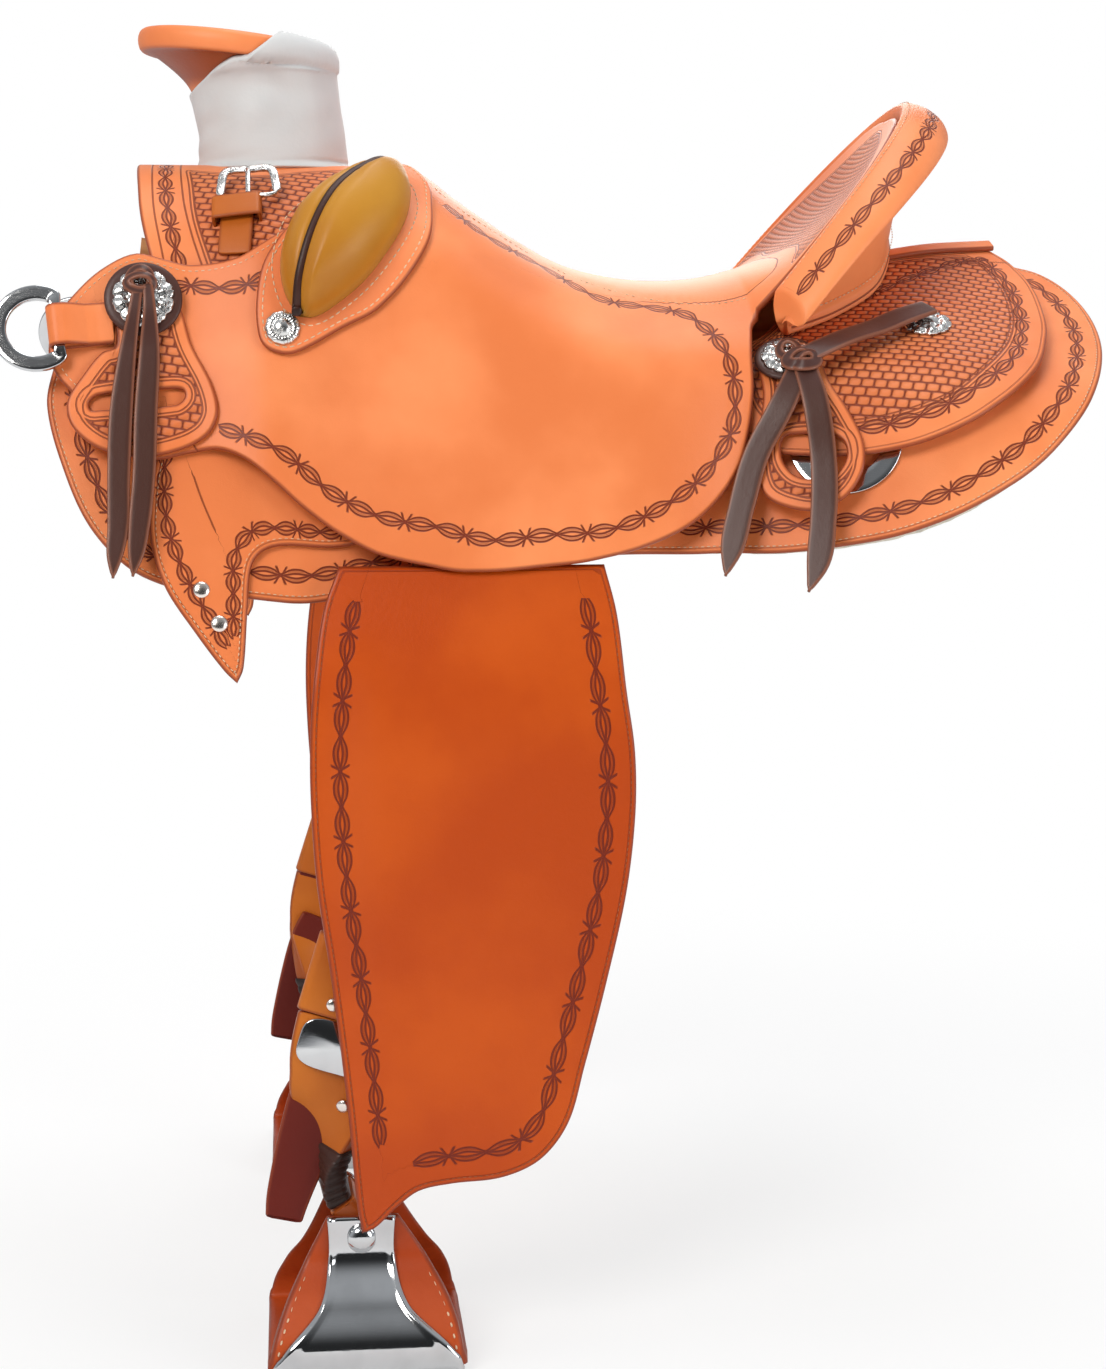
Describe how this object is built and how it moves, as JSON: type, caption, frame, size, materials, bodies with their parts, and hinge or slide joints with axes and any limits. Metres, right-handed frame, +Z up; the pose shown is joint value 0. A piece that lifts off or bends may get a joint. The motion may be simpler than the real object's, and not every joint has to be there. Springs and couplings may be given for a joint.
{
  "type": "western saddle",
  "caption": "Western wade saddle with swinging fenders and stirrups, hinged rigging rings, bucking rolls, tall post horn and a high cantle.",
  "frame": {"origin": "on the centre plane, halfway along the skirts, at the height of the inner edges of the tree bars", "axes": "+X towards the cantle, -X towards the horn, -Y the near side, +Z up"},
  "size_m": [0.743, 0.5346, 0.869],
  "materials": {
    "saddle_leather": "satin",
    "string_leather": "matte",
    "pad_leather": "satin",
    "wrap_leather": "matte",
    "wool": "matte",
    "wood": "matte",
    "steel": "polished",
    "silver": "polished"
  },
  "bodies": {
    "saddle": {"tree_fork": "wood", "tree_cantle": "wood", "horn": "saddle_leather", "horn_wrap": "wrap_leather", "ground_seat": "wood", "seat_leather": "saddle_leather", "fork_cover": "saddle_leather", "cantle_roll": "saddle_leather", "rope_strap": "saddle_leather", "skirt_left": "saddle_leather", "skirt_right": "saddle_leather", "fleece_left": "wool", "fleece_right": "wool", "tree_bar_left": "wood", "tree_bar_right": "wood", "rear_jockey_left": "saddle_leather", "rear_jockey_right": "saddle_leather", "rigging_plate_left": "saddle_leather", "rigging_plate_right": "saddle_leather", "bucking_roll_base_left": "saddle_leather", "bucking_roll_base_right": "saddle_leather", "bucking_roll_pad_left": "pad_leather", "bucking_roll_pad_right": "pad_leather", "latigo_keeper_left": "saddle_leather", "latigo_keeper_right": "saddle_leather", "flank_keeper_left": "saddle_leather", "flank_keeper_right": "saddle_leather", "dee_loop_left": "saddle_leather", "dee_loop_right": "saddle_leather", "front_concho_left": "silver", "front_concho_right": "silver", "rear_concho_left": "silver", "rear_concho_right": "silver", "back_concho_left": "silver", "back_concho_right": "silver", "front_strings_left": "string_leather", "front_strings_right": "string_leather", "rear_strings_left": "string_leather", "rear_strings_right": "string_leather"},
    "swing_left": {"stirrup_leather_left": "saddle_leather"},
    "leg_left": {"fender_left": "saddle_leather", "lower_leather_left": "saddle_leather", "length_buckle_left": "steel"},
    "sleeve_left": {"leather_keeper_left": "saddle_leather"},
    "stirrup_left": {"stirrup_left": "steel", "stirrup_binding_left": "saddle_leather", "stirrup_bolt_left": "steel"},
    "front_ring_left": {"front_dee_left": "steel"},
    "rear_ring_left": {"rear_dee_left": "steel"},
    "swing_right": {"stirrup_leather_right": "saddle_leather"},
    "leg_right": {"fender_right": "saddle_leather", "lower_leather_right": "saddle_leather", "length_buckle_right": "steel"},
    "sleeve_right": {"leather_keeper_right": "saddle_leather"},
    "stirrup_right": {"stirrup_right": "steel", "stirrup_binding_right": "saddle_leather", "stirrup_bolt_right": "steel"},
    "front_ring_right": {"front_dee_right": "steel"},
    "rear_ring_right": {"rear_dee_right": "steel"},
    "rope_buckle": {"rope_strap_buckle": "silver"}
  },
  "joints": [
    {"name": "stirrup_leather_left_swing", "type": "hinge", "parent": "saddle", "child": "swing_left", "pos_m": [-0.066, -0.14313, -0.055], "axis": [0, -0.9511, 0.309], "range_deg": [-15, 15]},
    {"name": "fender_left_flare", "type": "hinge", "parent": "swing_left", "child": "leg_left", "pos_m": [-0.066, -0.19752, -0.1593], "axis": [-1, 0, 0], "range_deg": [0, 50]},
    {"name": "leather_keeper_left_slide", "type": "slide", "parent": "leg_left", "child": "sleeve_left", "axis": [0.3011, 0.0665, 0.9513], "range_m": [0, 0.04]},
    {"name": "stirrup_left_swing", "type": "hinge", "parent": "leg_left", "child": "stirrup_left", "pos_m": [-0.142, -0.203, -0.581], "axis": [0, -1, 0], "range_deg": [-35, 35]},
    {"name": "front_dee_left_swing", "type": "hinge", "parent": "saddle", "child": "front_ring_left", "pos_m": [-0.32796, -0.15282, 0.00384], "axis": [-0.1139, 0.3389, 0.9339], "range_deg": [0, 110]},
    {"name": "rear_dee_left_swing", "type": "hinge", "parent": "saddle", "child": "rear_ring_left", "pos_m": [0.17958, -0.17335, -0.04912], "axis": [-0.2254, -0.8796, 0.4189], "range_deg": [-6, 6]},
    {"name": "stirrup_leather_right_swing", "type": "hinge", "parent": "saddle", "child": "swing_right", "pos_m": [-0.066, 0.14313, -0.055], "axis": [0, -0.9511, -0.309], "range_deg": [-15, 15]},
    {"name": "fender_right_flare", "type": "hinge", "parent": "swing_right", "child": "leg_right", "pos_m": [-0.066, 0.19752, -0.1593], "axis": [1, 0, 0], "range_deg": [0, 50]},
    {"name": "leather_keeper_right_slide", "type": "slide", "parent": "leg_right", "child": "sleeve_right", "axis": [0.3011, -0.0665, 0.9513], "range_m": [0, 0.04]},
    {"name": "stirrup_right_swing", "type": "hinge", "parent": "leg_right", "child": "stirrup_right", "pos_m": [-0.142, 0.203, -0.581], "axis": [0, -1, 0], "range_deg": [-35, 35]},
    {"name": "front_dee_right_swing", "type": "hinge", "parent": "saddle", "child": "front_ring_right", "pos_m": [-0.32796, 0.15282, 0.00384], "axis": [0.1139, 0.3389, -0.9339], "range_deg": [0, 110]},
    {"name": "rear_dee_right_swing", "type": "hinge", "parent": "saddle", "child": "rear_ring_right", "pos_m": [0.17958, 0.17335, -0.04912], "axis": [0.2254, -0.8796, -0.4189], "range_deg": [-6, 6]},
    {"name": "rope_strap_buckle_hinge", "type": "hinge", "parent": "saddle", "child": "rope_buckle", "pos_m": [-0.2061, -0.10379, 0.09061], "axis": [0.9952, -0.0653, 0.0732], "range_deg": [0, 85]}
  ]
}
